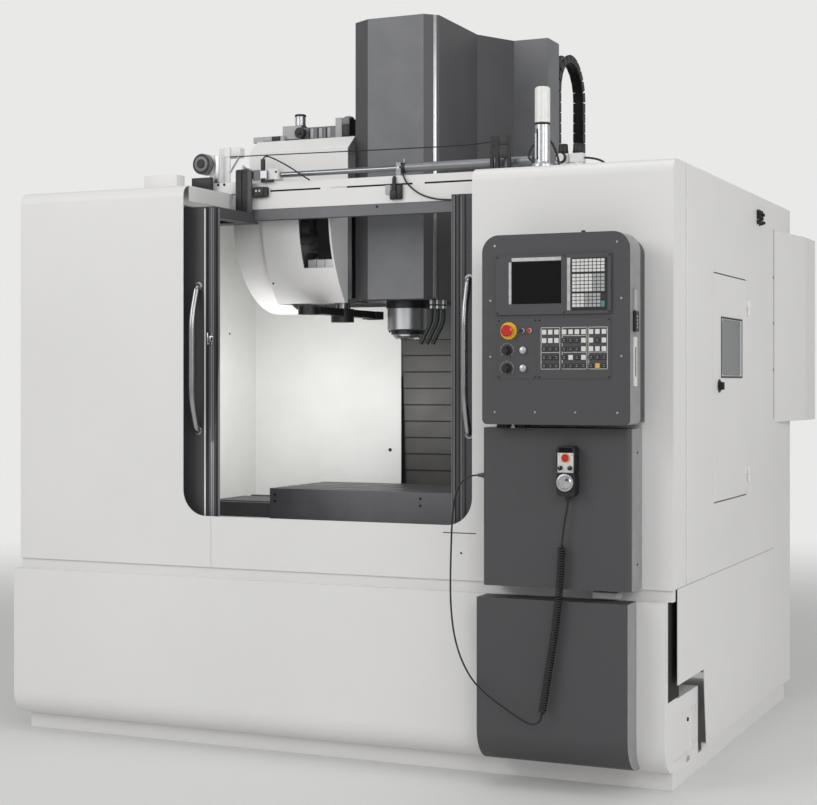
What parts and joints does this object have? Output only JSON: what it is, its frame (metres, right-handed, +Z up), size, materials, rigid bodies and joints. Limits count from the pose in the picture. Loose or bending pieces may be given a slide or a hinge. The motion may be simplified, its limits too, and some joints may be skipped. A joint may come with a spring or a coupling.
{
  "type": "cnc machining center",
  "caption": "Enclosed vertical milling machine with split sliding front doors, operator console on the right, side tool changer, tall head and a hand pendant on a curly cord.",
  "frame": {"origin": "on the floor, under the middle of the overall box", "axes": "+X to the operator's right, +Y from the operator to the back, +Z up"},
  "size_m": [2.77, 2.48, 2.884],
  "materials": {
    "white_paint": "satin powder coat",
    "inner_white_paint": "satin powder coat",
    "dark_grey_paint": "fine textured powder coat",
    "head_grey_paint": "satin paint",
    "cast_iron": "ground and oiled",
    "brushed_steel": "brushed",
    "chrome": "polished",
    "black_plastic": "moulded",
    "black_metal": "blackened steel",
    "red_plastic": "glossy",
    "door_glass": "clear pane",
    "silver": "turned",
    "cord_rubber": "matt sheath"
  },
  "bodies": {
    "root": {"bed_casting": "cast_iron", "plinth_tray": "white_paint", "column": "dark_grey_paint", "lower_skirt": "white_paint", "left_housing": "white_paint", "sill_panel": "white_paint", "right_housing": "white_paint", "right_side_panel": "white_paint", "outer_panels": "white_paint", "splash_walls": "inner_white_paint", "door_beam": "white_paint", "door_cylinder": "silver", "console_box": "dark_grey_paint", "display_unit": "dark_grey_paint", "key_panel": "dark_grey_paint", "dark_covers": "dark_grey_paint", "pendant_body": "black_plastic", "pendant_cord": "cord_rubber", "pendant_curl": "cord_rubber", "signal_tower": "silver", "air_unit": "silver", "electrical_cabinet": "white_paint", "coolant_tank": "white_paint", "energy_chain": "black_plastic", "magazine_cover": "white_paint", "changer_frame": "cast_iron"},
    "left_door": {"left_door": "dark_grey_paint", "left_window": "door_glass", "left_handle": "brushed_steel", "piston_rod": "chrome"},
    "right_door": {"right_door": "dark_grey_paint", "right_window": "door_glass", "right_handle": "brushed_steel"},
    "side_door": {"side_door": "white_paint", "side_window": "door_glass"},
    "side_latch": {"side_latch": "black_plastic"},
    "saddle": {"saddle": "dark_grey_paint"},
    "table": {"table": "cast_iron"},
    "head": {"head_cover": "head_grey_paint", "coolant_nozzles": "black_plastic"},
    "spindle": {"spindle": "brushed_steel"},
    "carousel": {"carousel": "silver"},
    "change_quill": {"change_quill": "brushed_steel"},
    "change_arm": {"change_arm": "black_metal"},
    "emergency_stop": {"emergency_stop": "red_plastic"},
    "push_button_1": {"push_button_1": "silver"},
    "push_button_2": {"push_button_2": "silver"},
    "selector_1": {"selector_1": "black_plastic"},
    "selector_2": {"selector_2": "black_plastic"},
    "pendant_dial": {"pendant_dial": "silver"},
    "pendant_stop": {"pendant_stop": "red_plastic"},
    "pendant_knob_1": {"pendant_knob_1": "black_plastic"},
    "pendant_knob_2": {"pendant_knob_2": "black_plastic"},
    "way_plate_1": {"way_plate_1": "black_metal"},
    "way_plate_2": {"way_plate_2": "black_metal"},
    "way_plate_3": {"way_plate_3": "black_metal"},
    "way_plate_4": {"way_plate_4": "black_metal"},
    "way_plate_5": {"way_plate_5": "black_metal"},
    "way_plate_6": {"way_plate_6": "black_metal"},
    "way_plate_7": {"way_plate_7": "black_metal"}
  },
  "joints": [
    {"name": "left_door_slide", "type": "slide", "parent": "root", "child": "left_door", "axis": [1, 0, 0], "range_m": [0, 0.495]},
    {"name": "right_door_slide", "type": "slide", "parent": "root", "child": "right_door", "axis": [1, 0, 0], "range_m": [-0.495, 0]},
    {"name": "side_door_hinge", "type": "hinge", "parent": "root", "child": "side_door", "pos_m": [1.334, 0.1025, 1.38], "axis": [0, 0, 1], "range_deg": [0, 110]},
    {"name": "side_latch_turn", "type": "hinge", "parent": "side_door", "child": "side_latch", "pos_m": [1.328, -0.366, 1.389], "axis": [1, 0, 0], "range_deg": [0, 90]},
    {"name": "saddle_slide", "type": "slide", "parent": "root", "child": "saddle", "axis": [0, 1, 0], "range_m": [-0.25, 0.25]},
    {"name": "table_slide", "type": "slide", "parent": "saddle", "child": "table", "axis": [1, 0, 0], "range_m": [-0.4, 0.4]},
    {"name": "head_slide", "type": "slide", "parent": "root", "child": "head", "axis": [0, 0, 1], "range_m": [-0.51, 0]},
    {"name": "spindle_turn", "type": "hinge", "parent": "head", "child": "spindle", "pos_m": [0, -0.244, 1.586], "axis": [0, 0, 1], "continuous": true},
    {"name": "way_plate_1_slide", "type": "slide", "parent": "root", "child": "way_plate_1", "axis": [0, 0, 1], "range_m": [-0.44625, 0]},
    {"name": "way_plate_2_slide", "type": "slide", "parent": "root", "child": "way_plate_2", "axis": [0, 0, 1], "range_m": [-0.3825, 0]},
    {"name": "way_plate_3_slide", "type": "slide", "parent": "root", "child": "way_plate_3", "axis": [0, 0, 1], "range_m": [-0.31875, 0]},
    {"name": "way_plate_4_slide", "type": "slide", "parent": "root", "child": "way_plate_4", "axis": [0, 0, 1], "range_m": [-0.255, 0]},
    {"name": "way_plate_5_slide", "type": "slide", "parent": "root", "child": "way_plate_5", "axis": [0, 0, 1], "range_m": [-0.19125, 0]},
    {"name": "way_plate_6_slide", "type": "slide", "parent": "root", "child": "way_plate_6", "axis": [0, 0, 1], "range_m": [-0.1275, 0]},
    {"name": "way_plate_7_slide", "type": "slide", "parent": "root", "child": "way_plate_7", "axis": [0, 0, 1], "range_m": [-0.06375, 0]},
    {"name": "carousel_turn", "type": "hinge", "parent": "root", "child": "carousel", "pos_m": [-0.594, -0.14, 2.08], "axis": [1, 0, 0], "continuous": true},
    {"name": "change_arm_turn", "type": "hinge", "parent": "change_quill", "child": "change_arm", "pos_m": [-0.3, -0.244, 1.71], "axis": [0, 0, 1], "range_deg": [0, 90]},
    {"name": "change_quill_drop", "type": "slide", "parent": "root", "child": "change_quill", "axis": [0, 0, 1], "range_m": [-0.1801, 0]},
    {"name": "emergency_stop_push", "type": "slide", "parent": "root", "child": "emergency_stop", "axis": [0, 1, 0], "range_m": [0, 0.004]},
    {"name": "push_button_1_push", "type": "slide", "parent": "root", "child": "push_button_1", "axis": [0, 1, 0], "range_m": [0, 0.003], "stiffness_N_per_m": 300},
    {"name": "selector_1_turn", "type": "hinge", "parent": "root", "child": "selector_1", "pos_m": [0.803, -1.21, 1.511], "axis": [0, 1, 0], "range_deg": [-135, 135]},
    {"name": "push_button_2_push", "type": "slide", "parent": "root", "child": "push_button_2", "axis": [0, 1, 0], "range_m": [0, 0.003], "stiffness_N_per_m": 300},
    {"name": "selector_2_turn", "type": "hinge", "parent": "root", "child": "selector_2", "pos_m": [0.803, -1.21, 1.45], "axis": [0, 1, 0], "range_deg": [-135, 135]},
    {"name": "pendant_dial_turn", "type": "hinge", "parent": "root", "child": "pendant_dial", "pos_m": [1.002, -1.181, 1.064], "axis": [0, 1, 0], "continuous": true},
    {"name": "pendant_stop_push", "type": "slide", "parent": "root", "child": "pendant_stop", "axis": [0, 1, 0], "range_m": [0, 0.003]},
    {"name": "pendant_knob_1_turn", "type": "hinge", "parent": "root", "child": "pendant_knob_1", "pos_m": [0.985, -1.181, 1.113], "axis": [0, 1, 0], "range_deg": [-60, 60]},
    {"name": "pendant_knob_2_turn", "type": "hinge", "parent": "root", "child": "pendant_knob_2", "pos_m": [1.019, -1.181, 1.113], "axis": [0, 1, 0], "range_deg": [-60, 60]}
  ],
  "couplings": [
    {"joint": "right_door_slide", "follows": "left_door_slide", "ratio": -1},
    {"joint": "way_plate_1_slide", "follows": "head_slide", "ratio": 0.875},
    {"joint": "way_plate_2_slide", "follows": "head_slide", "ratio": 0.75},
    {"joint": "way_plate_3_slide", "follows": "head_slide", "ratio": 0.625},
    {"joint": "way_plate_4_slide", "follows": "head_slide", "ratio": 0.5},
    {"joint": "way_plate_5_slide", "follows": "head_slide", "ratio": 0.375},
    {"joint": "way_plate_6_slide", "follows": "head_slide", "ratio": 0.25},
    {"joint": "way_plate_7_slide", "follows": "head_slide", "ratio": 0.125},
    {"joint": "change_quill_drop", "follows": "change_arm_turn", "m_per_rad": -0.11459}
  ]
}
